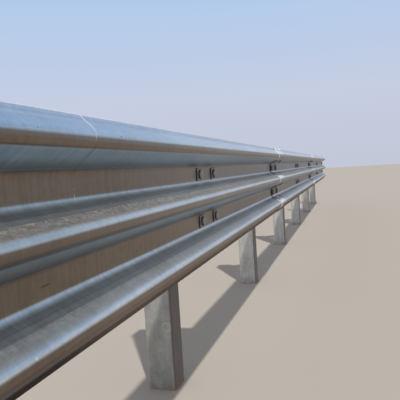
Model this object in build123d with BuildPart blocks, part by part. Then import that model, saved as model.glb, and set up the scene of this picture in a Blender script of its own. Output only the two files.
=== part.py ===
from build123d import *
from math import cos, radians, sin, tan
import os

# Highway guardrail: three-wave sheet rail on square posts with spacer blocks, six bays long.
# Millimetres. The rail runs along X and its road face looks towards -Y. Z is up from the ground.
# The origin is at the foot of the middle post.

# Bays and heights
post_pitch = 2000
bay_count = 6
bays_per_panel = 2
rail_centre_height = 860

# Rail sheet, measured on its outside
sheet = 4
rail_height = 506
rail_depth = 85
crest_to_edge = 59
crest_radius = 24
valley_radius = 24
wave_angle = 59
flank_angle = 52
lip_width = 14
lip_tilt = 10
lip_radius = 10

# Lap of one panel over the next
lap_length = 320
lap_clearance = 0.2
joggle_run_on = 10
joggle_length = 80

# Holes in the rail
bolt_column_spacing = 216
valley_slot_length = 65
valley_slot_width = 20
splice_hole_length = 30
splice_hole_width = 24

# Posts
post_size = 130
post_wall = 6
post_corner = 14
post_rise = 185
post_bolt_spacing = 150
post_bolt_hole = 22

# Spacer blocks
block_depth = 180
block_width = 300
block_height = 290
block_wall = 4.5
block_corner = 15
block_side = 60
block_bolt_hole = 20

# Post caps
cap_wall = 3
cap_skirt = 30
cap_clearance = 0.5
cap_edge = 5

# Places that follow from the sizes above
post_top = rail_centre_height + post_rise
post_face = -post_size / 2
rail_seat = post_face - block_depth
crest_pitch = rail_height / 2 - crest_to_edge
valley_line = rail_seat - sheet / 2
crest_line = valley_line - (rail_depth - sheet)
nest = sheet + lap_clearance
middle_post = bay_count // 2
post_places = [(number - middle_post) * post_pitch for number in range(bay_count + 1)]


# The rail's centre line is a chain of corners, each rounded, from the lower lip to the upper one
def crest_corner(inner_angle, outer_angle):
    """Corner of a crest bend: its reach past the crest line and its offset from the crest."""
    half_turn = radians(inner_angle + outer_angle) / 2
    lean = radians(outer_angle - inner_angle) / 2
    reach = crest_radius / cos(half_turn)
    return reach * cos(lean) - crest_radius, reach * sin(lean)


def upper_half():
    """Corners above the rail's middle, as (y, z, bend radius, 1 on a crest or -1 in a valley)."""
    middle_reach, _ = crest_corner(wave_angle, wave_angle)
    outer_reach, outer_offset = crest_corner(wave_angle, flank_angle)
    fall = (valley_line - crest_line + middle_reach) / tan(radians(wave_angle))
    lip_end_z = rail_height / 2 - sheet / 2 * sin(radians(lip_tilt))
    lip_bend_z = lip_end_z - lip_width * cos(radians(lip_tilt))
    flank_y = crest_line + crest_radius * (1 - cos(radians(flank_angle)))
    flank_z = crest_pitch + crest_radius * sin(radians(flank_angle))
    lip_bend_y = flank_y + (lip_bend_z - flank_z) * tan(radians(flank_angle))
    lip_end_y = lip_bend_y + lip_width * sin(radians(lip_tilt))
    return [
        (valley_line, fall, valley_radius, -1),
        (valley_line, crest_pitch - fall, valley_radius, -1),
        (crest_line - outer_reach, crest_pitch + outer_offset, crest_radius, 1),
        (lip_bend_y, lip_bend_z, lip_radius, -1),
        (lip_end_y, lip_end_z, 0, 0),
    ]


def rail_corners():
    """All corners of the rail's centre line, from the lower lip to the upper one."""
    above = upper_half()
    below = [(y, -z, radius, side) for y, z, radius, side in reversed(above)]
    middle_reach, _ = crest_corner(wave_angle, wave_angle)
    return below + [(crest_line - middle_reach, 0, crest_radius, 1)] + above


def moved_line(distance):
    """Corners and bend radii of the rail's centre line, moved towards the road by a distance."""
    corners = rail_corners()
    points = [Vector(y, z) for y, z, _, _ in corners]
    normals = []
    for start, end in zip(points, points[1:]):
        along = (end - start).normalized()
        normals.append(Vector(-along.Y, along.X))
    moved = [points[0] + normals[0] * distance]
    for point, before, after in zip(points[1:], normals, normals[1:]):
        moved.append(point + (before + after) * (distance / (1 + before.dot(after))))
    moved.append(points[-1] + normals[-1] * distance)
    radii = [radius + side * distance for _, _, radius, side in corners[1:-1]]
    return moved, radii


def rail_section(x, distance):
    """Section of the rail at x, moved towards the road by a distance."""
    road_corners, road_radii = moved_line(distance + sheet / 2)
    back_corners, back_radii = moved_line(distance - sheet / 2)
    with BuildSketch(Plane((x, 0, rail_centre_height), x_dir=(0, 1, 0), z_dir=(1, 0, 0))) as section:
        with BuildLine():
            road = FilletPolyline(*road_corners, radius=road_radii)
            back = FilletPolyline(*back_corners, radius=back_radii)
            Line(road @ 0, back @ 0)
            Line(road @ 1, back @ 1)
        make_face()
    return section.sketch


def slope_planes(x):
    """Planes square to the six slopes of the rail at x, at half the slope's depth."""
    middle_reach, _ = crest_corner(wave_angle, wave_angle)
    half_depth = (valley_line + crest_line) / 2
    drop = (half_depth - crest_line + middle_reach) / tan(radians(wave_angle))
    normal_y, normal_z = -cos(radians(wave_angle)), sin(radians(wave_angle))
    planes = []
    for crest, side in ((-crest_pitch, 1), (0, -1), (0, 1), (crest_pitch, -1)):
        centre = (x, half_depth, rail_centre_height + crest + side * drop)
        planes.append(Plane(centre, x_dir=(1, 0, 0), z_dir=(0, normal_y, side * normal_z)))
    flank_drop = (half_depth - crest_line + crest_corner(flank_angle, flank_angle)[0]) / tan(
        radians(flank_angle)
    )
    flank_y, flank_z = -cos(radians(flank_angle)), sin(radians(flank_angle))
    for side in (-1, 1):
        centre = (x, half_depth, rail_centre_height + side * (crest_pitch + flank_drop))
        planes.append(Plane(centre, x_dir=(1, 0, 0), z_dir=(0, flank_y, side * flank_z)))
    return planes


def build_panel(start, end, lapped):
    """One rail panel. A lapped panel has its near end set forward, over the panel before it."""
    hole_reach = 2 * nest
    with BuildPart() as panel:
        plain_start = start
        if lapped:
            joggle_start = start + lap_length + joggle_run_on
            plain_start = joggle_start + joggle_length
            extrude(rail_section(start, nest), amount=joggle_start - start)
            loft([rail_section(joggle_start, nest), rail_section(plain_start, 0)], ruled=True)
        extrude(rail_section(plain_start, 0), amount=end - plain_start)
        for x in [place for place in post_places if start < place < end]:
            with BuildSketch(Plane((x, valley_line, rail_centre_height), x_dir=(1, 0, 0), z_dir=(0, -1, 0))):
                with GridLocations(bolt_column_spacing, crest_pitch, 2, 2):
                    SlotOverall(valley_slot_length, valley_slot_width)
            extrude(amount=hole_reach, both=True, mode=Mode.SUBTRACT)
        for x in (start + lap_length / 2, end - lap_length / 2):
            for slope in slope_planes(x):
                with BuildSketch(slope):
                    with GridLocations(bolt_column_spacing, 1, 2, 1):
                        SlotOverall(splice_hole_length, splice_hole_width)
                extrude(amount=hole_reach, both=True, mode=Mode.SUBTRACT)
    return panel


def build_post(x):
    """Square tube post, cut off level at the ground, with holes for its through bolts."""
    with BuildPart() as post:
        with BuildSketch(Plane((x, 0, 0))):
            RectangleRounded(post_size, post_size, post_corner)
            inside = post_size - 2 * post_wall
            RectangleRounded(inside, inside, post_corner - post_wall, mode=Mode.SUBTRACT)
        extrude(amount=post_top)
        with BuildSketch(Plane((x, 0, rail_centre_height), x_dir=(1, 0, 0), z_dir=(0, -1, 0))):
            with GridLocations(1, post_bolt_spacing, 1, 2):
                Circle(post_bolt_hole / 2)
        extrude(amount=post_size, both=True, mode=Mode.SUBTRACT)
    return post


def build_block(x):
    """Six-sided spacer block, open at top and bottom, wide at the rail and as wide as the post behind."""
    plan = [
        (-block_width / 2, rail_seat),
        (block_width / 2, rail_seat),
        (block_width / 2, rail_seat + block_side),
        (post_size / 2, post_face),
        (-post_size / 2, post_face),
        (-block_width / 2, rail_seat + block_side),
    ]
    with BuildPart() as block:
        with BuildSketch(Plane((x, 0, rail_centre_height - block_height / 2))) as outline:
            with BuildLine():
                Polyline(*plan, close=True)
            make_face()
            fillet(outline.vertices(), radius=block_corner)
            offset(amount=-block_wall, mode=Mode.SUBTRACT)
        extrude(amount=block_height)
        with BuildSketch(Plane((x, rail_seat, rail_centre_height), x_dir=(1, 0, 0), z_dir=(0, -1, 0))):
            with GridLocations(bolt_column_spacing, crest_pitch, 2, 2):
                Circle(block_bolt_hole / 2)
        extrude(amount=2 * block_wall, both=True, mode=Mode.SUBTRACT)
        with BuildSketch(Plane((x, post_face, rail_centre_height), x_dir=(1, 0, 0), z_dir=(0, -1, 0))):
            with GridLocations(1, post_bolt_spacing, 1, 2):
                Circle(post_bolt_hole / 2)
        extrude(amount=2 * block_wall, both=True, mode=Mode.SUBTRACT)
    return block


def build_cap(x):
    """Pressed cap that stands on the post's top with its skirt around the post."""
    inside = post_size + 2 * cap_clearance
    outside = inside + 2 * cap_wall
    with BuildPart() as cap:
        with BuildSketch(Plane((x, 0, post_top - cap_skirt))):
            RectangleRounded(outside, outside, post_corner + cap_clearance + cap_wall)
        extrude(amount=cap_skirt + cap_wall)
        fillet(cap.faces().sort_by(Axis.Z)[-1].edges(), radius=cap_edge)
        with BuildSketch(Plane((x, 0, post_top - cap_skirt))):
            RectangleRounded(inside, inside, post_corner + cap_clearance)
        extrude(amount=cap_skirt, mode=Mode.SUBTRACT)
    return cap


def save(piece, name):
    """Label a finished piece and write it to its own file."""
    piece.part.label = name
    export_step(piece.part, f"parts/{name}.step")


os.makedirs("parts", exist_ok=True)

# Posts, blocks and caps, numbered along the rail
for number, place in enumerate(post_places, start=1):
    save(build_post(place), f"post_{number}")
    save(build_block(place), f"spacer_block_{number}")
    save(build_cap(place), f"post_cap_{number}")

# Rail panels, each spanning two bays and lapping over the panel before it
panel_count = bay_count // bays_per_panel
for number in range(panel_count):
    first = post_places[number * bays_per_panel]
    last = post_places[(number + 1) * bays_per_panel]
    rail_panel = build_panel(first - lap_length / 2, last + lap_length / 2, lapped=number > 0)
    save(rail_panel, f"rail_panel_{number + 1}")
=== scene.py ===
# Highway guardrail: zinc finishes, bolts and washers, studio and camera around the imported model
import math

import bmesh
import bpy
from mathutils import Matrix, Vector


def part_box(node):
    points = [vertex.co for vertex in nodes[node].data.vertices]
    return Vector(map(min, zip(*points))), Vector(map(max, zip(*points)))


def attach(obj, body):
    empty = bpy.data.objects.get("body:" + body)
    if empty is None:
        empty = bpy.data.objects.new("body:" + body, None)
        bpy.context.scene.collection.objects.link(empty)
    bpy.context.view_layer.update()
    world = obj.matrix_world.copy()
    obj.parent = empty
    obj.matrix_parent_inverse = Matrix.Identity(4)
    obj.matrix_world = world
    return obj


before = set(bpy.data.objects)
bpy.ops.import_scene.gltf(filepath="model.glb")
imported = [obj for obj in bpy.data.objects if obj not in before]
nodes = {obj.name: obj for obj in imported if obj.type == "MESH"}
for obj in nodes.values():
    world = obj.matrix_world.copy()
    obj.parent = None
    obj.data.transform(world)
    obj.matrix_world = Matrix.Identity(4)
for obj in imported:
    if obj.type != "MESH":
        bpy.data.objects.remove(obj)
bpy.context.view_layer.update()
print("stage: model loaded,", len(nodes), "nodes")


# Helpers for objects and nodes

quarterTurn = math.pi / 2


def addObject(name, data):
    obj = bpy.data.objects.new(name, data)
    bpy.context.scene.collection.objects.link(obj)
    return obj


def feed(tree, socket, value):
    if isinstance(value, bpy.types.NodeSocket):
        tree.links.new(value, socket)
    else:
        socket.default_value = value


def addNode(tree, kind, inputs=None, **settings):
    made = tree.nodes.new(kind)
    for key, value in settings.items():
        setattr(made, key, value)
    for key, value in (inputs or {}).items():
        feed(tree, made.inputs[key], value)
    return made


def fillRamp(ramp, stops):
    elements = ramp.color_ramp.elements
    while len(elements) < len(stops):
        elements.new(0.5)
    for element, (place, colour) in zip(elements, stops):
        element.position = place
        element.color = (*colour, 1)


# Sizes of the rail and its bolts' places, and what is read from the model

rail = {
    "sheet": 0.004,
    "lapClearance": 0.0002,
    "crestPitch": 0.194,
    "crestRadius": 0.024,
    "waveAngle": math.radians(59),
    "flankAngle": math.radians(52),
    "columnSpacing": 0.216,
    "blockWall": 0.0045,
    "postBoltSpacing": 0.15,
}


def numbered(prefix):
    names = [name for name in nodes if name.startswith(prefix) and name[len(prefix):].isdigit()]
    return sorted(names, key=lambda name: int(name[len(prefix):]))


postNames = numbered("post_")
panelNames = numbered("rail_panel_")
blockNames = numbered("spacer_block_")
capNames = numbered("post_cap_")

railLow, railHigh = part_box(panelNames[0])
rail["centre"] = (railLow.z + railHigh.z) / 2
rail["front"] = railLow.y
rail["seat"] = min([railHigh.y] + [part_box(name)[0].y for name in blockNames])
rail["floorFace"] = rail["seat"] - rail["sheet"]
rail["nest"] = rail["sheet"] + rail["lapClearance"]

postPlaces = []
for name in postNames:
    low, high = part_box(name)
    postPlaces.append((low.x + high.x) / 2)
postLow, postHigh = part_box(postNames[0])

lapPlaces = []
for before, after in zip(panelNames, panelNames[1:]):
    lapPlaces.append((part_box(before)[1].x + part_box(after)[0].x) / 2)


# Camera

camera = {
    "place": (-6.048, -0.839),
    "aboveRailCentre": 0.115,
    "yaw": 16.99,  # degrees left of +X
    "pitch": -3.49,
    "roll": -3.57,
    "focalPixels": 488,
    "imagePixels": 400,
    "sensor": 36,
    "nearest": 0.01,
    "farthest": 400,
}


def makeCamera(settings):
    data = bpy.data.cameras.new("photoCamera")
    data.sensor_width = settings["sensor"]
    data.lens = settings["focalPixels"] * settings["sensor"] / settings["imagePixels"]
    data.clip_start = settings["nearest"]
    data.clip_end = settings["farthest"]
    obj = addObject("photoCamera", data)
    yaw, pitch, roll = (math.radians(settings[key]) for key in ("yaw", "pitch", "roll"))
    level = math.cos(pitch)
    forward = Vector((level * math.cos(yaw), level * math.sin(yaw), math.sin(pitch)))
    right = forward.cross(Vector((0, 0, 1))).normalized()
    up = right.cross(forward)
    rolledRight = right * math.cos(roll) + up * math.sin(roll)
    rolledUp = up * math.cos(roll) - right * math.sin(roll)
    turn = Matrix((rolledRight, rolledUp, -forward)).transposed().to_4x4()
    place = (*settings["place"], rail["centre"] + settings["aboveRailCentre"])
    obj.matrix_world = Matrix.Translation(place) @ turn
    bpy.context.scene.camera = obj


makeCamera(camera)
print("stage: camera")


# Shader helpers

noiseRange = (0.3, 0.7)  # most values of a noise lie in it


class Shader:
    def __init__(self, name):
        self.material = bpy.data.materials.new(name)
        self.material.use_nodes = True
        self.tree = self.material.node_tree
        self.tree.nodes.clear()
        self.surface = self.add("ShaderNodeBsdfPrincipled")
        self.add("ShaderNodeOutputMaterial", {0: self.surface.outputs[0]})
        coords = self.add("ShaderNodeTexCoord")
        self.place = coords.outputs["Object"]
        self.x, self.y, self.z = self.add("ShaderNodeSeparateXYZ", {0: self.place}).outputs
        facing = self.add("ShaderNodeSeparateXYZ", {0: coords.outputs["Normal"]})
        self.normalX, self.normalY, self.normalZ = facing.outputs

    def add(self, kind, inputs=None, **settings):
        return addNode(self.tree, kind, inputs, **settings)

    def math(self, operation, a, b=0.0, c=0.0):
        return self.add("ShaderNodeMath", {0: a, 1: b, 2: c}, operation=operation).outputs[0]

    def chain(self, operation, values):
        result = values[0]
        for value in values[1:]:
            result = self.math(operation, result, value)
        return result

    def times(self, *values):
        return self.chain("MULTIPLY", values)

    def most(self, *values):
        return self.chain("MAXIMUM", values)

    def plus(self, *values):
        return self.chain("ADD", values)

    def scaled(self, colour, tone):
        return self.add("ShaderNodeVectorMath", {0: colour, "Scale": tone}, operation="SCALE").outputs[0]

    def fromTo(self, value, low, high, newLow=0.0, newHigh=1.0, smooth=True):
        inputs = {"Value": value, "From Min": low, "From Max": high, "To Min": newLow, "To Max": newHigh}
        kind = "SMOOTHSTEP" if smooth else "LINEAR"
        return self.add("ShaderNodeMapRange", inputs, interpolation_type=kind).outputs[0]

    def fade(self, share, none, full):
        # goes from none to full as the share goes from 0 to 1
        return self.fromTo(share, 0, 1, none, full, smooth=False)

    def between(self, value, start, full, fading, over):
        # 0 up to start, 1 from full to fading, and 0 again from over
        return self.times(self.fromTo(value, start, full), self.fromTo(value, over, fading))

    def swing(self, noise, size):
        # a tone that swings about 1 by its size
        return self.fromTo(noise, *noiseRange, 1 - size, 1 + size)

    def noise(self, scale, detail=3.0, roughness=0.55, stretch=None):
        place = self.place
        if stretch:
            place = self.add("ShaderNodeMapping", {"Vector": place, "Scale": stretch}).outputs[0]
        inputs = {"Vector": place, "Scale": scale, "Detail": detail, "Roughness": roughness}
        return self.add("ShaderNodeTexNoise", inputs).outputs["Fac"]

    def cells(self, scale):
        # a random value for each cell, and the distance from its middle
        made = self.add("ShaderNodeTexVoronoi", {"Vector": self.place, "Scale": scale})
        split = self.add("ShaderNodeSeparateColor", {0: made.outputs["Color"]})
        return split.outputs[0], made.outputs["Distance"]

    def ramp(self, value, stops):
        made = self.add("ShaderNodeValToRGB", {0: value})
        fillRamp(made, stops)
        return made.outputs[0]

    def mix(self, share, a, b, blend="MIX"):
        inputs = {0: share}
        for socket, value in ((6, a), (7, b)):
            inputs[socket] = (*value, 1) if isinstance(value, tuple) else value
        return self.add("ShaderNodeMix", inputs, data_type="RGBA", blend_type=blend).outputs[2]

    def bump(self, height, distance, under=None):
        inputs = {"Height": height, "Distance": distance, "Strength": 1.0}
        if under is not None:
            inputs["Normal"] = under
        return self.add("ShaderNodeBump", inputs).outputs[0]

    def finish(self, inputs):
        for name, value in inputs.items():
            feed(self.tree, self.surface.inputs[name], value)
        return self.material


# Rail sheet: painted reflection by the way each face turns, pale sky on faces that look up and ground brown
# with road film on upright faces, painted shade in the hollows and along the edges, dust on the lower waves
# Names with Depth go by the way out from the valley floors, with Faces by how far a face looks up, with
# Above by the height over the rail's centre, with Reach by the way down from its top, and with Along by the
# place along it. Each is a soft edge, from where it starts to where it is full, and then come the values
# there where they aren't 0 and 1. A Band has two soft edges. A Range is a soft edge in a noise's own values.

railZinc = {
    "film": [  # from faces that look down to faces that look up: painted reflection, teal below, a dark painted shade line under the crests, ground brown with road film on upright faces, pale sky on faces that look up
        (0.00, (0.350, 0.440, 0.468)),
        (0.105, (0.350, 0.440, 0.468)),
        (0.160, (0.085, 0.083, 0.08)),
        (0.215, (0.190, 0.150, 0.120)),
        (0.42, (0.189, 0.155, 0.127)),
        (0.50, (0.199, 0.160, 0.122)),
        (0.58, (0.190, 0.165, 0.132)),
        (0.69, (0.64, 0.65, 0.63)),
        (0.82, (0.72, 0.76, 0.79)),
    ],
    "upFaces": (0.15, 0.45),
    "filmAlong": (-4.2, -3.0, 1, 0.62),  # painted shade: faces that don't look up are darker further along
    "underFaces": (-0.3, -0.75),
    "underDepth": (0.012, 0.050),  # painted shade: faces that look down go from dark near the valleys to full tone here
    "underDark": 0.66,

    # Painted shade on the inner part of the slopes that look up, and tones of the bends and crests
    "innerFaces": (0.4, 0.7),
    "innerAbove": (0.20, 0.18),
    "innerDepthBand": (0.010, 0.014, 0.040, 0.052),
    "innerDark": (0.75, 0.62),  # near the valley and further out
    "lowWaveAbove": (-0.09, -0.11),
    "lowWaveDepth": (0.054, 0.079),  # painted shade on the lowest wave's upper slope reaches out to here
    "lowWaveDark": 0.68,
    "lowDullDepthBand": (0.022, 0.028, 0.040, 0.052),  # and is darkest here
    "lowDullDark": 0.76,
    "lowBendDepth": (0.015, 0.010),
    "lowBendTone": (0.88, 0.86, 0.82),
    "crestDepth": (0.048, 0.062),
    "lowCrestAbove": (0.15, 0.13),
    "lowCrestTone": (1.04, 1.0, 0.93),  # crests of the two lower waves, with a little dust on them

    # Upper bend of each valley, lip with a painted sky reflection, a painted highlight on its edge and
    # painted shade in its bend, top flank turning paler as a painted reflection, and back
    "upperBend": (0.205, 0.163, 0.125),
    "upperBendDepth": (0.016, 0.010),
    "upperBendFacesBand": (-0.75, -0.6, -0.15, -0.02),
    # painted sky reflection on the lip
    "lip": (0.375, 0.50, 0.68),
    "lipReach": (0.020, 0.017),
    "lipEdge": (0.85, 0.88, 0.90),
    "lipEdgeReach": (0.003, 0.001),
    "lipBendReachBand": (0.006, 0.010, 0.017, 0.021),
    "lipBendDark": 0.87,
    "flankAbove": (0.19, 0.21),
    "flankAlong": (-5.2, -4.2),  # between these the top flank turns paler, a painted reflection of a paler sky
    "flankTone": (1.18, 1.10, 1.02),
    "back": (0.40, 0.405, 0.395),
    "backFaces": (0.0, 0.25),  # how far a face looks away from the road

    # Soil along the lowest edge with painted shade on the edge, and painted shade under the middle crest
    "grime": (0.185, 0.132, 0.098),
    "grimeShare": 0.95,
    "grimeFromBottom": (0.080, 0.044),
    "grimeFaces": (0.25, -0.05),
    "grimeAlong": (-5.36, -5.14, 1, 1.35),
    "edgeFromBottom": (0.016, 0.054),  # painted shade: the edge itself is darker, up to here
    "edgeAlong": (-5.28, -4.96, 0.2, 0.6),
    "drip": (0.045, 0.045, 0.04),
    "dripShare": 0.75,
    "dripFacesBand": (-0.855, -0.78, -0.55, -0.30),
    "dripFromCentre": (0.05, 0.03),
    "dripDepth": (0.060, 0.066),

    # Dust on the outer half of the upper slopes of the two lower waves
    "dust": (0.225, 0.205, 0.190),
    "dustShare": 0.92,
    "dustDepthBand": (0.040, 0.042, 0.065, 0.080),
    "dustFaces": (0.55, 0.75),
    "dustAbove": (0.17, 0.16),
    "dustLowAbove": (-0.15, -0.05, 0.45, 1),  # thinner on the lowest wave
    "dustAlong": (-5.05, -4.2, 1, 1.24),
    "dustScale": 95,
    "dustStretch": (0.7, 1, 1),
    "dustRange": (0.36, 0.66, 0.68, 1.36),
    "grain": (0.52, 0.49, 0.40),
    "grainShare": 0.85,
    "grainScale": 125,
    "grainRange": (0.57, 0.65),
    "grainDepth": (0.064, 0.046),

    # Spangle, drawn streaks and mottle
    "spangleScale": 70,
    "spangleSwing": 0.05,
    "streakStretch": (75, 5, 5),
    "streakSwing": 0.075,
    "fineStretch": (240, 6, 6),
    "fineSwing": 0.05,
    "calmShare": 0.4,  # rain keeps the crests and the top flank more even
    "calmAbove": (0.21, 0.225),
    "frontDepth": (0.066, 0.074),
    "crestLineStretch": (2, 180, 180),
    "crestLineSwing": 0.07,
    "mottleScale": 5,
    "mottleStretch": (0.5, 1, 1.4),
    "mottleSwing": 0.08,

    # Specks of tar on the top flank
    "tar": (0.055, 0.055, 0.07),
    "tarShare": 0.8,
    "tarScale": 16,  # cells to the metre
    "tarChosen": (0.79, 0.80),  # a fifth of the cells hold a speck
    "tarSize": 0.0024,
    "tarAlong": (-4.87, -4.85),  # short of this the specks are among the marks

    # Pale line down the upper wave and its valley, as a strap leaves, with painted shade on it where it
    # crosses the slope that looks down
    "line": (0.85, 0.88, 0.90),
    "lineX": -5.08,
    "lineLean": 0.36,  # towards the near end, for each metre out from the valley
    "lineBulge": 0.021,  # and towards the far end, on the top flank
    "lineBulgeReachBand": (0.0, 0.016, 0.020, 0.060),
    "lineWidth": 0.0042,
    "lineNarrow": 0.6,
    "lineWideAbove": (0.20, 0.24),
    "lineWander": 0.004,
    "lineWanderScale": 9,
    "lineSoftness": (1.0, 0.3),
    "lineAbove": (0.052, 0.060),  # where it ends, in the valley
    "lineFaces": (-0.3, 0.0),
    "lineFrontFaces": (-0.02, 0.12, 0, 0.4),
    "lineFaintAbove": (0.232, 0.212, 0, 0.55),
    "lineFaintEndAbove": (0.15, 0.17),
    "wornScale": 55,
    "wornRange": (0.52, 0.60),
    "wornShare": 0.35,
    # dark of the scuff mark, and the line's painted shade
    "scuff": (0.05, 0.04, 0.03),
    "scuffWidth": 2.6,  # times the line's
    "scuffFaces": (-0.2, -0.6, 0, 0.32),

    # Bright scuffs with painted glints on the crests where a panel laps another, and the cut end, with
    # painted shade in the valleys and a painted highlight at the crests
    "lapScuff": (0.93, 0.92, 0.90),
    "lapScuffEndBand": (-0.001, 0.0, 0.20, 0.28),  # from the end of the panel on top
    "lapScuffScale": 22,
    "lapScuffRange": (0.34, 0.50),
    "lapScuffDepth": (0.052, 0.066),
    # painted shade on the cut end
    "cutEnd": (0.035, 0.033, 0.03),
    "cutEndFaces": (-0.4, -0.8),  # how far a face looks along the rail
    "cutEndDepth": (0.030, 0.055),

    # Marks that stand alone, each an oval with a soft edge
    "fleck": (0.90, 0.92, 0.95),
    "markEdge": (1.2, 0.4),
    "marks": [  # along the rail, up from its centre, half length, half height, colour's name and share
        (-5.215, -0.097, 0.018, 0.0025, "scuff", 0.6),
        (-5.308, 0.207, 0.0028, 0.0018, "tar", 0.45),
        (-4.979, 0.206, 0.0055, 0.0020, "tar", 0.7),
        (-4.955, 0.206, 0.0030, 0.0019, "tar", 0.5),
        (-4.939, 0.205, 0.0034, 0.0021, "tar", 0.6),
        (-4.920, 0.205, 0.0030, 0.0018, "tar", 0.5),
        (-4.903, 0.205, 0.0034, 0.0019, "tar", 0.55),
        (-5.366, -0.183, 0.0045, 0.0032, "fleck", 0.6),
    ],

    # Gloss, and the sheet's slight waves
    "roughness": (0.285, 0.335),
    "streakRoughness": 0.03,
    "dustRoughness": 0.22,
    "grimeRoughness": 0.5,
    "metallic": 0.88,
    "matteMetallic": 0.1,
    "matteDust": 0.55,  # how far dust, soil, the back, the lip's painted reflection, and the lap's scuffs and painted glints take the metal away
    "matteGrime": 0.5,
    "matteBack": 0.5,
    "matteScuffs": 0.8,
    "haze": 0.11,  # dry road dust, seen as a pale bloom at low angles
    "hazeRoughness": 0.35,
    "waveScale": 2.6,
    "waveStretch": (1, 1, 0.7),
    "waveBump": 0.003,
    "gritBump": 0.0006,
}


def railPaintedLight(s, settings):
    # Painted reflection and road film by the way each face turns, with painted shade on the slopes and bends,
    # and the tones of the crests
    colour = s.ramp(s.fromTo(s.normalZ, -1, 1, smooth=False), settings["film"])
    under = s.fromTo(s.normalZ, *settings["underFaces"])
    # painted shade, deepest where faces that look down are nearest the valleys, and further along the rail
    underTone = s.fromTo(s.outward, *settings["underDepth"], settings["underDark"], 1)
    colour = s.scaled(colour, s.fade(under, 1, underTone))
    colour = s.scaled(colour, s.fade(s.facesUp, s.fromTo(s.x, *settings["filmAlong"]), 1))

    # painted shade on the slopes that look up, darkest near the valleys and on the lowest wave
    start, full, fading, _ = settings["innerDepthBand"]
    inner = s.times(
        s.between(s.outward, *settings["innerDepthBand"]),
        s.fromTo(s.normalZ, *settings["innerFaces"]),
        s.fromTo(s.above, *settings["innerAbove"]),
    )
    innerTone = s.fade(inner, 1, s.fromTo(s.outward, full, fading, *settings["innerDark"]))
    lowWave = s.times(s.fromTo(s.above, *settings["lowWaveAbove"]), s.facesUp)
    lowShade = s.times(s.between(s.outward, *settings["lowDullDepthBand"]), lowWave)
    lowShadeTone = s.fade(lowShade, 1, settings["lowDullDark"])
    lowSlope = s.times(lowWave, s.between(s.outward, start, full, *settings["lowWaveDepth"]))
    lowTone = s.fade(lowSlope, 1, settings["lowWaveDark"])
    colour = s.scaled(colour, s.times(s.math("MINIMUM", innerTone, lowTone), lowShadeTone))

    lowBend = s.times(s.fromTo(s.outward, *settings["lowBendDepth"]), s.facesUp)
    colour = s.mix(lowBend, colour, settings["lowBendTone"], blend="MULTIPLY")
    lowCrest = s.times(s.fromTo(s.above, *settings["lowCrestAbove"]), s.crest)
    return s.mix(lowCrest, colour, settings["lowCrestTone"], blend="MULTIPLY")


def railEdges(s, settings, colour):
    upperBend = s.times(
        s.fromTo(s.outward, *settings["upperBendDepth"]),
        s.between(s.normalZ, *settings["upperBendFacesBand"]),
    )
    colour = s.mix(upperBend, colour, settings["upperBend"])
    # painted sky reflection on the lip
    colour = s.mix(s.lip, colour, settings["lip"])
    # painted shade in the lip's bend
    lipBend = s.between(s.fromTop, *settings["lipBendReachBand"])
    colour = s.scaled(colour, s.fade(lipBend, 1, settings["lipBendDark"]))
    # painted reflection: the top flank turns paler further along
    flank = s.times(
        s.fromTo(s.above, *settings["flankAbove"]),
        s.most(s.facesUp, s.lip),
        s.fromTo(s.x, *settings["flankAlong"]),
    )
    colour = s.mix(flank, colour, settings["flankTone"], blend="MULTIPLY")
    # painted highlight along the top edge
    colour = s.mix(s.fromTo(s.fromTop, *settings["lipEdgeReach"]), colour, settings["lipEdge"])
    colour = s.mix(s.back, colour, settings["back"])

    # painted shade: the lowest edge is darker, and the soil darker at the near end
    edgeTone = s.fromTo(s.x, *settings["edgeAlong"])
    edgeTone = s.fromTo(s.fromBottom, *settings["edgeFromBottom"], edgeTone, 1)
    grime = s.scaled(settings["grime"], s.times(edgeTone, s.fromTo(s.x, *settings["grimeAlong"])))
    colour = s.mix(s.times(s.grime, settings["grimeShare"]), colour, grime)
    # painted shade on the faces that look down under the middle crest
    drip = s.times(
        s.between(s.normalZ, *settings["dripFacesBand"]),
        s.fromTo(s.math("ABSOLUTE", s.above), *settings["dripFromCentre"]),
        s.fromTo(s.outward, *settings["dripDepth"]),
        settings["dripShare"],
    )
    return s.mix(drip, colour, settings["drip"])


def railDust(s, settings, colour):
    tone = s.times(s.fromTo(s.specks, *settings["dustRange"]), s.fromTo(s.x, *settings["dustAlong"]))
    colour = s.mix(s.times(s.dust, settings["dustShare"]), colour, s.scaled(settings["dust"], tone))
    grains = s.times(
        s.fromTo(s.noise(settings["grainScale"], detail=2), *settings["grainRange"]),
        s.dust,
        s.fromTo(s.outward, *settings["grainDepth"]),
        settings["grainShare"],
    )
    return s.mix(grains, colour, settings["grain"])


def railStreaks(s, settings, colour):
    size = settings["spangleSwing"]
    spangle = s.fade(s.cells(settings["spangleScale"])[0], 1 - size, 1 + size)
    fine = s.noise(1.0, detail=1, stretch=settings["fineStretch"])
    streakTone = s.times(s.swing(s.streaks, settings["streakSwing"]), s.swing(fine, settings["fineSwing"]))
    calmTone = s.math("MULTIPLY_ADD", streakTone, settings["calmShare"], 1 - settings["calmShare"])
    front = s.fromTo(s.outward, *settings["frontDepth"])
    calm = s.most(s.crest, front, s.fromTo(s.above, *settings["calmAbove"]))
    crestLines = s.noise(1.0, detail=2, stretch=settings["crestLineStretch"])
    return s.scaled(colour, s.times(
        spangle,
        s.fade(calm, streakTone, calmTone),
        s.fade(front, 1, s.swing(crestLines, settings["crestLineSwing"])),
        s.swing(s.mottle, settings["mottleSwing"]),
    ))


def railTar(s, settings, colour):
    chosen, distance = s.cells(settings["tarScale"])
    reach = settings["tarSize"] * settings["tarScale"]
    tar = s.times(
        s.fromTo(distance, reach, reach / 2),
        s.fromTo(chosen, *settings["tarChosen"]),
        s.fromTo(s.above, *settings["flankAbove"]),
        s.fromTo(s.x, *settings["tarAlong"]),
        settings["tarShare"],
    )
    return s.mix(tar, colour, settings["tar"])


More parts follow.
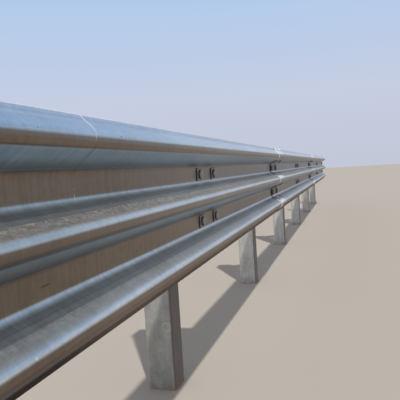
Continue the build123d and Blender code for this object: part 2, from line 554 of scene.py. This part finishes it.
def railLine(s, settings, colour):
    limit = settings["lineWander"]
    width = settings["lineWidth"]
    wander = s.fade(s.noise(settings["lineWanderScale"], detail=2), -limit, limit)
    leaning = s.math("SUBTRACT", s.x, settings["lineX"])
    leaning = s.math("MULTIPLY_ADD", s.outward, settings["lineLean"], leaning)
    bulge = s.between(s.fromTop, *settings["lineBulgeReachBand"])
    leaning = s.math("MULTIPLY_ADD", bulge, -settings["lineBulge"], leaning)
    away = s.math("ABSOLUTE", s.plus(leaning, wander))
    wide = s.fromTo(s.above, *settings["lineWideAbove"], width * settings["lineNarrow"], width)
    along = s.fromTo(s.above, *settings["lineAbove"])
    # painted shade on the line where it crosses the slope that looks down
    scuff = s.times(
        s.fromTo(away, width * settings["scuffWidth"], 0),
        along,
        s.fromTo(s.normalZ, *settings["scuffFaces"]),
    )
    worn = s.fromTo(s.noise(settings["wornScale"], detail=2), *settings["wornRange"])
    worn = s.most(s.times(worn, settings["wornShare"]), s.fromTo(s.normalZ, *settings["lineFrontFaces"]))
    faint = s.times(
        s.fromTo(s.above, *settings["lineFaintAbove"]),
        s.facesUp,
        s.fromTo(s.above, *settings["lineFaintEndAbove"]),
    )
    s.line = s.times(
        s.fromTo(s.math("DIVIDE", away, wide), *settings["lineSoftness"]),
        along,
        s.most(worn, s.facesUp, s.lip),
        s.fromTo(s.normalZ, *settings["lineFaces"]),
        s.math("SUBTRACT", 1.0, faint),
    )
    colour = s.mix(s.line, colour, settings["line"])
    return s.mix(scuff, colour, settings["scuff"])


def railLaps(s, settings, colour):
    patches = []
    for name in panelNames[1:]:
        fromEnd = s.math("SUBTRACT", s.x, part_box(name)[0].x)
        patches.append(s.between(fromEnd, *settings["lapScuffEndBand"]))
    # rubbed zinc with a painted glint on the faces that look up at each lap
    rubbed = s.times(
        s.plus(*patches),
        s.fromTo(s.noise(settings["lapScuffScale"]), *settings["lapScuffRange"]),
        s.facesUp,
        s.fromTo(s.outward, *settings["lapScuffDepth"]),
    )
    # painted shade on the cut end, and a painted highlight on it where it reaches out to the crests
    cutEnd = s.fromTo(s.normalX, *settings["cutEndFaces"])
    colour = s.mix(cutEnd, colour, settings["cutEnd"])
    s.rubbed = s.most(rubbed, s.times(cutEnd, s.fromTo(s.outward, *settings["cutEndDepth"])))
    return s.mix(s.rubbed, colour, settings["lapScuff"])


def railMarks(s, settings, colour):
    for along, up, halfLong, halfHigh, colourName, share in settings["marks"]:
        across = s.times(s.math("SUBTRACT", s.x, along), 1 / halfLong)
        upwards = s.times(s.math("SUBTRACT", s.above, up), 1 / halfHigh)
        spread = s.plus(s.times(across, across), s.times(upwards, upwards))
        colour = s.mix(s.fromTo(spread, *settings["markEdge"], 0, share), colour, settings[colourName])
    return colour


def makeRailZinc(settings):
    s = Shader("railZinc")
    s.outward = s.math("SUBTRACT", rail["floorFace"], s.y)
    s.above = s.math("SUBTRACT", s.z, rail["centre"])
    s.fromTop = s.math("SUBTRACT", railHigh.z, s.z)
    s.fromBottom = s.math("SUBTRACT", s.z, railLow.z)
    s.facesUp = s.fromTo(s.normalZ, *settings["upFaces"])
    s.crest = s.times(s.facesUp, s.fromTo(s.outward, *settings["crestDepth"]))
    s.lip = s.fromTo(s.fromTop, *settings["lipReach"])
    s.back = s.fromTo(s.normalY, *settings["backFaces"])
    s.grime = s.times(
        s.fromTo(s.fromBottom, *settings["grimeFromBottom"]),
        s.fromTo(s.normalZ, *settings["grimeFaces"]),
    )
    s.dust = s.times(
        s.between(s.outward, *settings["dustDepthBand"]),
        s.fromTo(s.normalZ, *settings["dustFaces"]),
        s.fromTo(s.above, *settings["dustAbove"]),
        s.fromTo(s.above, *settings["dustLowAbove"]),
    )
    s.specks = s.noise(settings["dustScale"], detail=4, roughness=0.75, stretch=settings["dustStretch"])
    s.streaks = s.noise(1.0, detail=2, stretch=settings["streakStretch"])
    s.mottle = s.noise(settings["mottleScale"], detail=5, roughness=0.6, stretch=settings["mottleStretch"])

    colour = railPaintedLight(s, settings)
    for layer in (railEdges, railDust, railStreaks, railTar, railLine, railLaps, railMarks):
        colour = layer(s, settings, colour)

    rough = s.plus(
        s.fromTo(s.mottle, *noiseRange, *settings["roughness"]),
        s.fromTo(s.streaks, *noiseRange, 0, settings["streakRoughness"]),
        s.times(s.dust, settings["dustRoughness"]),
        s.times(s.grime, settings["grimeRoughness"]),
    )
    matte = s.most(
        s.line,
        s.times(s.dust, settings["matteDust"]),
        s.times(s.grime, settings["matteGrime"]),
        s.times(s.back, settings["matteBack"]),
        s.times(s.most(s.rubbed, s.lip), settings["matteScuffs"]),
    )
    metallic = s.fade(matte, settings["metallic"], settings["matteMetallic"])
    waves = s.noise(settings["waveScale"], detail=2, stretch=settings["waveStretch"])
    normal = s.bump(waves, settings["waveBump"])
    normal = s.bump(s.times(s.specks, s.dust), settings["gritBump"], under=normal)
    return s.finish({
        "Base Color": colour,
        "Roughness": rough,
        "Metallic": metallic,
        "Normal": normal,
        "Sheen Weight": settings["haze"],
        "Sheen Roughness": settings["hazeRoughness"],
    })


# Posts, blocks and caps: duller dip zinc with runs, road film and painted shade on the front, painted shade
# on the near posts, soil at the foot

postZinc = {
    "colour": (0.67, 0.665, 0.635),
    "dark": (0.52, 0.515, 0.49),
    "mottleScale": 18,
    "mottleStretch": (1, 1, 0.5),
    "mottleRange": (0.35, 0.68),
    "spangleScale": 60,
    "spangleSwing": 0.07,
    "runs": (0.76, 0.755, 0.72),
    "runStretch": (70, 70, 1.8),
    "runRange": (0.52, 0.75, 0, 0.45),
    "nearPostShade": 0.72,  # painted shade: the posts at the near end are darker
    "nearPostShadeReach": 0.5,  # past the second post and short of the third, where that changes
    "road": (0.090, 0.074, 0.066),
    "roadFaces": (-0.35, -0.85, 0, 0.9),  # how far a face looks away from the road
    "roughness": (0.45, 0.62),
    "metallic": 0.45,
    "grainBump": 0.0004,

    # Burnished ring with a run below it, on the second post's end face
    "ring": (0.66, 0.65, 0.62),
    "ringShare": 0.42,
    "ringPlace": (-0.040, 0.29),  # across and up the face
    "ringRadius": 0.019,
    "ringWidth": (0.007, 0.001),
    "runWidth": (0.8, 0.3),  # times the ring's radius
    "runStart": (-0.015, -0.04),
    "runEnd": (-0.26, -0.08, 0, 0.6),
    "faceNearness": (0.004, 0.002),

    # Soil at the foot, with a ragged upper edge
    "soil": (0.36, 0.25, 0.165),
    "soilHeight": (0.035, -0.01, 0, 0.6),
    "soilScale": 30,
    "soilEdge": (0.2, 0.8, -0.05, 0.04),
    "soilRoughness": 0.35,
}


def postRing(s, settings, colour):
    radius = settings["ringRadius"]
    across = s.math("SUBTRACT", s.y, settings["ringPlace"][0])
    up = s.math("SUBTRACT", s.z, settings["ringPlace"][1])
    reach = s.math("SQRT", s.plus(s.times(across, across), s.times(up, up)))
    ring = s.fromTo(s.math("ABSOLUTE", s.math("SUBTRACT", reach, radius)), *settings["ringWidth"])
    run = s.times(
        s.fromTo(s.math("ABSOLUTE", across), *(radius * share for share in settings["runWidth"])),
        s.fromTo(up, *settings["runStart"]),
        s.fromTo(up, *settings["runEnd"]),
    )
    face = postPlaces[1] - (postHigh.x - postLow.x) / 2
    onFace = s.fromTo(s.math("ABSOLUTE", s.math("SUBTRACT", s.x, face)), *settings["faceNearness"])
    mark = s.times(s.most(ring, run), onFace, settings["ringShare"])
    return s.mix(mark, colour, settings["ring"])


def makePostZinc(settings, name, soiled):
    s = Shader(name)
    mottle = s.noise(settings["mottleScale"], detail=6, roughness=0.62, stretch=settings["mottleStretch"])
    colour = s.mix(s.fromTo(mottle, *settings["mottleRange"]), settings["dark"], settings["colour"])
    size = settings["spangleSwing"]
    colour = s.scaled(colour, s.fade(s.cells(settings["spangleScale"])[0], 1 - size, 1 + size))
    runs = s.noise(1.0, stretch=settings["runStretch"])
    colour = s.mix(s.fromTo(runs, *settings["runRange"]), colour, settings["runs"])
    # painted shade on the posts at the near end
    begin = postPlaces[1] + settings["nearPostShadeReach"]
    end = postPlaces[2] - settings["nearPostShadeReach"]
    colour = s.scaled(colour, s.fromTo(s.x, begin, end, settings["nearPostShade"], 1))
    # road film and painted shade on the front faces
    film = s.fromTo(s.normalY, *settings["roadFaces"])
    colour = s.mix(film, colour, settings["road"])
    rough = s.fromTo(mottle, *noiseRange, *settings["roughness"])
    metallic = settings["metallic"]
    if soiled:
        colour = postRing(s, settings, colour)
        edge = s.plus(s.z, s.fromTo(s.noise(settings["soilScale"], detail=5), *settings["soilEdge"]))
        soil = s.fromTo(edge, *settings["soilHeight"])
        colour = s.mix(soil, colour, settings["soil"])
        rough = s.plus(rough, s.times(soil, settings["soilRoughness"]))
        metallic = s.fade(s.most(soil, film), settings["metallic"], 0)
    normal = s.bump(mottle, settings["grainBump"])
    return s.finish({"Base Color": colour, "Roughness": rough, "Metallic": metallic, "Normal": normal})


# Bolts and washers: clean zinc with dark rims, painted shade in the corners

boltZinc = {
    "colour": (0.33, 0.31, 0.285),
    "dull": (0.22, 0.20, 0.18),
    "dullRange": (0.35, 0.65, 0, 0.35),
    "mottleScale": 120,
    # painted shade on the rims
    "rim": (0.035, 0.033, 0.031),
    "rimRoughness": 0.3,
    "topRowHighlight": (0.78, 0.79, 0.78),  # the top row, painted highlight where the light falls on it
    "topRowHighlightAbove": (0.215, 0.225, 0, 0.85),  # over the rail's centre
    "roughness": (0.34, 0.46),
    "metallic": (0.85, 0.1),  # bare, and in the rims' painted shade or the top row's painted highlight
    "grainBump": 0.0002,
}


def makeBoltZinc(settings):
    s = Shader("boltZinc")
    rim = s.add("ShaderNodeAttribute", attribute_name="rim").outputs["Fac"]
    mottle = s.noise(settings["mottleScale"])
    colour = s.mix(s.fromTo(mottle, *settings["dullRange"]), settings["colour"], settings["dull"])
    # painted shade on the rims
    colour = s.mix(rim, colour, settings["rim"])
    # painted highlight on the top row
    topRowHighlight = s.fromTo(s.math("SUBTRACT", s.z, rail["centre"]), *settings["topRowHighlightAbove"])
    colour = s.mix(topRowHighlight, colour, settings["topRowHighlight"])
    rough = s.fromTo(mottle, *noiseRange, *settings["roughness"])
    rough = s.plus(rough, s.times(rim, settings["rimRoughness"]))
    metallic = s.fromTo(s.most(rim, topRowHighlight), 0, 1, *settings["metallic"])
    normal = s.bump(mottle, settings["grainBump"])
    return s.finish({"Base Color": colour, "Roughness": rough, "Metallic": metallic, "Normal": normal})


railMaterial = makeRailZinc(railZinc)
postMaterial = makePostZinc(postZinc, "postZinc", True)
blockMaterial = makePostZinc(postZinc, "blockZinc", False)
boltMaterial = makeBoltZinc(boltZinc)
for names, material in (
    (panelNames, railMaterial),
    (postNames, postMaterial),
    (blockNames, blockMaterial),
    (capNames, blockMaterial),
):
    for name in names:
        nodes[name].data.materials.clear()
        nodes[name].data.materials.append(material)
print("stage: finishes")


# Fastener shapes, each a stack of rings along +Z with its seat at zero height
# Each ring has a rim shade, from 0 for clean zinc to 1 for painted shade in a corner.

fasteners = {
    "domeProfile": [  # share of the radius, share of the height, rim shade
        (1.0, 0.0, 1.0),
        (1.0, 0.18, 1.0),
        (0.97, 0.40, 0.55),
        (0.88, 0.66, 0.1),
        (0.70, 0.87, 0.0),
        (0.42, 0.97, 0.0),
        (0.15, 1.0, 0.0),
    ],
    "nutChamfer": 0.06,  # times the nut's width across its flats
    "nutSeatChamfer": 0.6,  # times the chamfer at its top
    "nutSeat": 0.93,  # widths of its lowest and highest ring, times its full one
    "nutTop": 0.86,
    "nutShade": 0.25,
    "shankChamfer": 0.18,  # times the radius
    "shankShade": 0.3,
    "discEdge": 0.2,  # times the thickness
    "discShades": (0.6, 0.9, 0.3),  # underside, edge and top
    "washerTopShade": 0.15,
    "sharpAngle": 38,  # degrees
}


def ringSolid(shape, rings):
    # rings: (points, height, rim shade), from the lowest to the highest, closed at both ends
    rimLayer = shape.verts.layers.float.get("rim") or shape.verts.layers.float.new("rim")
    made = []
    for outline, height, shade in rings:
        ring = [shape.verts.new((x, y, height)) for x, y in outline]
        for vert in ring:
            vert[rimLayer] = shade
        made.append(ring)
    shape.faces.new(list(reversed(made[0])))
    shape.faces.new(made[-1])
    for lower, upper in zip(made, made[1:]):
        count = len(lower)
        for index in range(count):
            after = (index + 1) % count
            shape.faces.new((lower[index], lower[after], upper[after], upper[index]))


def circle(radius, count=28):
    angles = [2 * math.pi * i / count for i in range(count)]
    return [(radius * math.cos(angle), radius * math.sin(angle)) for angle in angles]


def roundedBox(length, width, corner, inset=0.0, steps=5):
    outline = []
    for quarter, (sideX, sideY) in enumerate(((1, 1), (-1, 1), (-1, -1), (1, -1))):
        for step in range(steps + 1):
            angle = quarterTurn * (quarter + step / steps)
            x = sideX * (length / 2 - corner) + (corner - inset) * math.cos(angle)
            y = sideY * (width / 2 - corner) + (corner - inset) * math.sin(angle)
            outline.append((x, y))
    return outline


def domeHead(shape, size, seat):
    rings = []
    for share, rise, shade in fasteners["domeProfile"]:
        rings.append((circle(size["head"] * share), seat + size["headHeight"] * rise, shade))
    ringSolid(shape, rings)


def hexNut(shape, across, height, seat, upward):
    corner = across / math.sqrt(3)
    chamfer = across * fasteners["nutChamfer"]
    levels = [
        (fasteners["nutSeat"], 0),
        (1.0, chamfer * fasteners["nutSeatChamfer"]),
        (1.0, height - chamfer),
        (fasteners["nutTop"], height),
    ]
    if not upward:
        levels = [(share, -rise) for share, rise in reversed(levels)]
    shade = fasteners["nutShade"]
    ringSolid(shape, [(circle(corner * share, count=6), seat + rise, shade) for share, rise in levels])


def shank(shape, radius, low, high):
    chamfer = radius * fasteners["shankChamfer"]
    shade = fasteners["shankShade"]
    full = circle(radius, count=16)
    end = circle(radius - chamfer, count=16)
    ringSolid(shape, [(end, low, shade), (full, low + chamfer, shade), (full, high, shade)])


def disc(shape, radius, low, high):
    edge = (high - low) * fasteners["discEdge"]
    under, side, top = fasteners["discShades"]
    full = circle(radius)
    inner = circle(radius - edge)
    ringSolid(shape, [
        (inner, low, under),
        (full, low + edge, side),
        (full, high - edge, side),
        (inner, high, top),
    ])


washer = {"length": 0.076, "width": 0.050, "thickness": 0.004, "corner": 0.008, "edge": 0.0008}
blockBolt = {
    "head": 0.020,
    "headHeight": 0.011,
    "shank": 0.008,
    "across": 0.024,
    "nut": 0.013,
    "spare": 0.006,
}
spliceBolt = {
    "head": 0.017,
    "headHeight": 0.0095,
    "shank": 0.008,
    "across": 0.024,
    "nut": 0.013,
    "spare": 0.005,
    "disc": 0.015,
    "discThickness": 0.0025,
}
postBolt = {
    "headHeight": 0.010,
    "shank": 0.008,
    "across": 0.024,
    "nut": 0.013,
    "spare": 0.004,
    "disc": 0.0185,
    "discThickness": 0.003,
}


def nutEnd(shape, size, grip, shankTop):
    # What is behind the sheets: a round washer if the bolt has one, the nut, and the bolt's own end
    seat = -grip
    if "disc" in size:
        seat -= size["discThickness"]
        disc(shape, size["disc"], seat, -grip)
    hexNut(shape, size["across"], size["nut"], seat, False)
    shank(shape, size["shank"], seat - size["nut"] - size["spare"], shankTop)


def buildWasher(shape):
    full = roundedBox(washer["length"], washer["width"], washer["corner"])
    top = roundedBox(washer["length"], washer["width"], washer["corner"], washer["edge"])
    edgeStart = washer["thickness"] - washer["edge"]
    topShade = fasteners["washerTopShade"]
    ringSolid(shape, [(full, 0, 1.0), (full, edgeStart, 1.0), (top, washer["thickness"], topShade)])


def buildBlockBolt(shape, grip):
    domeHead(shape, blockBolt, washer["thickness"])
    nutEnd(shape, blockBolt, grip, washer["thickness"])


def buildSpliceBolt(shape, grip):
    domeHead(shape, spliceBolt, 0)
    nutEnd(shape, spliceBolt, grip, 0)


def buildPostBolt(shape, grip):
    thickness = postBolt["discThickness"]
    disc(shape, postBolt["disc"], 0, thickness)
    hexNut(shape, postBolt["across"], postBolt["headHeight"], thickness, True)
    nutEnd(shape, postBolt, grip, thickness)


def fastener(name, build, *grip):
    shape = bmesh.new()
    build(shape, *grip)
    bmesh.ops.recalc_face_normals(shape, faces=shape.faces)
    mesh = bpy.data.meshes.new(name)
    shape.to_mesh(mesh)
    shape.free()
    mesh.shade_smooth()
    mesh.set_sharp_from_angle(angle=math.radians(fasteners["sharpAngle"]))
    return addObject(name, mesh)


# Rows of fasteners: a grid of copies about each given place, leaning by the place's own tilt

def rowTree():
    tree = bpy.data.node_groups.new("fastenerRows", "GeometryNodeTree")
    face = tree.interface
    face.new_socket(name="Geometry", in_out="INPUT", socket_type="NodeSocketGeometry")
    for name, kind in (
        ("Fastener", "Object"),
        ("Columns", "Int"),
        ("Rows", "Int"),
        ("Column Spacing", "Float"),
        ("Row Spacing", "Float"),
        ("Turn", "Float"),
        ("Seed", "Int"),
        ("Finish", "Material"),
    ):
        face.new_socket(name=name, in_out="INPUT", socket_type="NodeSocket" + kind)
    face.new_socket(name="Geometry", in_out="OUTPUT", socket_type="NodeSocketGeometry")

    def add(kind, inputs=None, **settings):
        return addNode(tree, kind, inputs, **settings)

    given = add("NodeGroupInput").outputs

    def span(spacing, count):
        gaps = add("ShaderNodeMath", {0: given[count], 1: 1.0}, operation="SUBTRACT").outputs[0]
        return add("ShaderNodeMath", {0: given[spacing], 1: gaps}, operation="MULTIPLY").outputs[0]

    grid = add("GeometryNodeMeshGrid", {
        "Size X": span("Column Spacing", "Columns"),
        "Size Y": span("Row Spacing", "Rows"),
        "Vertices X": given["Columns"],
        "Vertices Y": given["Rows"],
    })
    stand = {"Geometry": grid.outputs["Mesh"], "Rotation": (quarterTurn, 0, 0)}
    upright = add("GeometryNodeTransform", stand)
    grids = add("GeometryNodeInstanceOnPoints", {"Points": given["Geometry"], "Instance": upright.outputs[0]})
    spots = add("GeometryNodeRealizeInstances", {0: grids.outputs[0]})
    tilt = add("GeometryNodeInputNamedAttribute", {"Name": "tilt"}, data_type="FLOAT")
    lean = add("ShaderNodeCombineXYZ", {"X": tilt.outputs["Attribute"]})
    source = add("GeometryNodeObjectInfo", {"Object": given["Fastener"]})
    placed = add("GeometryNodeInstanceOnPoints", {
        "Points": spots.outputs[0],
        "Instance": source.outputs["Geometry"],
        "Rotation": lean.outputs[0],
    })
    back = add("ShaderNodeMath", {0: given["Turn"], 1: -1.0}, operation="MULTIPLY")
    limits = {2: back.outputs[0], 3: given["Turn"], "Seed": given["Seed"]}
    turn = add("FunctionNodeRandomValue", limits, data_type="FLOAT")
    spin = add("ShaderNodeCombineXYZ", {"Z": turn.outputs[1]})
    turned = add("GeometryNodeRotateInstances", {
        "Instances": placed.outputs[0],
        "Rotation": spin.outputs[0],
        "Local Space": True,
    })
    solid = add("GeometryNodeRealizeInstances", {0: turned.outputs[0]})
    finished = add("GeometryNodeSetMaterial", {"Geometry": solid.outputs[0], "Material": given["Finish"]})
    add("NodeGroupOutput", {0: finished.outputs[0]})
    return tree


rows = rowTree()


def layRows(name, source, places, slot, **inputs):
    # places: (x, y, z, tilt); tilt of a right angle points a fastener's head at the road
    mesh = bpy.data.meshes.new(name)
    mesh.from_pydata([place[:3] for place in places], [], [])
    tilts = mesh.attributes.new("tilt", "FLOAT", "POINT")
    tilts.data.foreach_set("value", [place[3] for place in places])
    obj = addObject(name, mesh)
    modifier = obj.modifiers.new("rows", "NODES")
    modifier.node_group = rows
    values = {
        "Fastener": source,
        "Finish": boltMaterial,
        "Columns": 1,
        "Rows": 1,
        "Column Spacing": 0.0,
        "Row Spacing": 0.0,
        **inputs,
    }
    for item in rows.interface.items_tree:
        if item.in_out == "INPUT" and item.name in values:
            modifier[item.identifier] = values[item.name]
    bpy.context.view_layer.update()
    graph = bpy.context.evaluated_depsgraph_get()
    made = bpy.data.meshes.new_from_object(obj.evaluated_get(graph))
    obj.modifiers.clear()
    obj.data = made
    obj.data.name = name
    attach(obj, "root")
    print("stage:", name, len(made.polygons), "faces")


layout = {
    "washerTurn": math.radians(2.5),  # most that a washer is turned, either way
    "boltTurn": math.pi,
    "washerSeed": 3,
    "blockBoltSeed": 5,
    "spliceBoltSeed": 8,
    "postBoltSeed": 13,
    "lapNearness": 0.01,  # a post this near to a lap's middle carries the lap
}


def carriesLap(place):
    return any(abs(place - lap) < layout["lapNearness"] for lap in lapPlaces)


plainPosts = [place for place in postPlaces if not carriesLap(place)]
lapPosts = [place for place in postPlaces if carriesLap(place)]
lapSheets = rail["sheet"] + rail["nest"]

# Washers and bolts that hold the rail to the blocks, through one sheet or two
block2x2 = {
    "Columns": 2,
    "Rows": 2,
    "Column Spacing": rail["columnSpacing"],
    "Row Spacing": rail["crestPitch"],
}
washerShape = fastener("washerShape", buildWasher)
shapes = [washerShape]
for label, places, sheets in (("plain", plainPosts, rail["sheet"]), ("lap", lapPosts, lapSheets)):
    spots = [(place, rail["seat"] - sheets, rail["centre"], quarterTurn) for place in places]
    boltShape = fastener(label + "BoltShape", buildBlockBolt, sheets + rail["blockWall"])
    shapes.append(boltShape)
    turn = {"Turn": layout["washerTurn"], "Seed": layout["washerSeed"]}
    layRows(label + "_washers", washerShape, spots, "block", **turn, **block2x2)
    turn = {"Turn": layout["boltTurn"], "Seed": layout["blockBoltSeed"]}
    layRows(label + "_block_bolts", boltShape, spots, "block", **turn, **block2x2)


def slopeSpots():
    # Middle of each of the six slopes at a lap, on the front panel's face
    crest = rail["front"] + rail["sheet"] / 2
    floor = rail["seat"] - rail["sheet"] / 2
    half = (crest + floor) / 2
    lift = rail["nest"] + rail["sheet"] / 2
    spots = []
    for crestNumber, side, angleName in (
        (-1, 1, "waveAngle"),
        (0, -1, "waveAngle"),
        (0, 1, "waveAngle"),
        (1, -1, "waveAngle"),
        (-1, -1, "flankAngle"),
        (1, 1, "flankAngle"),
    ):
        angle = rail[angleName]
        reach = rail["crestRadius"] * (1 / math.cos(angle) - 1)
        drop = (half - crest + reach) / math.tan(angle)
        y = half - lift * math.cos(angle)
        z = rail["centre"] + crestNumber * rail["crestPitch"] + side * (drop + lift * math.sin(angle))
        spots.append((y, z, quarterTurn - side * angle))
    return spots


# Splice bolts on the slopes of each lap
spots = [(lap, y, z, tilt) for lap in lapPlaces for y, z, tilt in slopeSpots()]
spliceShape = fastener("spliceShape", buildSpliceBolt, lapSheets)
shapes.append(spliceShape)
splicePair = {"Columns": 2, "Column Spacing": rail["columnSpacing"]}
turn = {"Turn": layout["boltTurn"], "Seed": layout["spliceBoltSeed"]}
layRows("splice_bolts", spliceShape, spots, "rail", **turn, **splicePair)

# Long bolts through each block and post
spots = [(place, postHigh.y, rail["centre"], -quarterTurn) for place in postPlaces]
postShape = fastener("postBoltShape", buildPostBolt, postHigh.y - postLow.y + rail["blockWall"])
shapes.append(postShape)
postPair = {"Rows": 2, "Row Spacing": rail["postBoltSpacing"]}
turn = {"Turn": layout["boltTurn"], "Seed": layout["postBoltSeed"]}
layRows("post_bolts", postShape, spots, "post", **turn, **postPair)

for shape in shapes:
    bpy.data.objects.remove(shape)
print("stage: fasteners")


# Studio: pale floor, pale sky and one soft lamp, high on the road side and a little behind the camera

studio = {
    "floorSize": 160,
    "floorColour": (0.50, 0.455, 0.41),
    "floorRoughness": 0.9,
    "floorSpecular": 0.1,
    "sky": [  # height of the view, from level to straight up
        (0.0, (0.54, 0.575, 0.68)),
        (0.14, (0.565, 0.615, 0.76)),
        (0.31, (0.45, 0.60, 0.83)),
        (0.56, (0.19, 0.34, 0.58)),
        (1.0, (0.12, 0.25, 0.48)),
    ],
    "fill": (0.88, 0.92, 0.98),
    "fillStrength": 0.48,
    "sunStrength": 2.5,
    "sunColour": (1.0, 0.955, 0.89),
    "sunSoftness": 1.5,  # degrees
    "sunFrom": (-0.62, -0.37, 1.0),
}


def makeFloor(settings):
    half = settings["floorSize"] / 2
    corners = [(-half, -half, 0), (half, -half, 0), (half, half, 0), (-half, half, 0)]
    mesh = bpy.data.meshes.new("floor")
    mesh.from_pydata(corners, [], [(0, 1, 2, 3)])
    floor = addObject("floor", mesh)
    s = Shader("floorFinish")
    mesh.materials.append(s.material)
    s.finish({
        "Base Color": (*settings["floorColour"], 1),
        "Roughness": settings["floorRoughness"],
        "Specular IOR Level": settings["floorSpecular"],
    })


def makeSky(settings):
    # The camera and the metal see the sky, and everything else is lit by the even fill
    world = bpy.data.worlds.new("paleSky")
    bpy.context.scene.world = world
    world.use_nodes = True
    tree = world.node_tree
    tree.nodes.clear()
    coords = addNode(tree, "ShaderNodeTexCoord")
    split = addNode(tree, "ShaderNodeSeparateXYZ", {0: coords.outputs["Generated"]})
    ramp = addNode(tree, "ShaderNodeValToRGB", {0: split.outputs["Z"]})
    fillRamp(ramp, settings["sky"])
    shown = addNode(tree, "ShaderNodeBackground", {"Color": ramp.outputs[0]})
    light = {"Color": (*settings["fill"], 1), "Strength": settings["fillStrength"]}
    fill = addNode(tree, "ShaderNodeBackground", light)
    rays = addNode(tree, "ShaderNodeLightPath").outputs
    seen = rays["Is Camera Ray"]
    for kind in ("Is Glossy Ray", "Is Transmission Ray"):
        seen = addNode(tree, "ShaderNodeMath", {0: seen, 1: rays[kind]}, operation="MAXIMUM").outputs[0]
    mixed = addNode(tree, "ShaderNodeMixShader", {0: seen, 1: fill.outputs[0], 2: shown.outputs[0]})
    addNode(tree, "ShaderNodeOutputWorld", {0: mixed.outputs[0]})


def makeSun(settings):
    data = bpy.data.lights.new("softSun", "SUN")
    data.energy = settings["sunStrength"]
    data.color = settings["sunColour"]
    data.angle = math.radians(settings["sunSoftness"])
    obj = addObject("softSun", data)
    obj.rotation_euler = Vector(settings["sunFrom"]).to_track_quat("Z", "Y").to_euler()


makeFloor(studio)
makeSky(studio)
makeSun(studio)
bpy.context.scene.view_settings.view_transform = "Standard"
print("stage: studio")
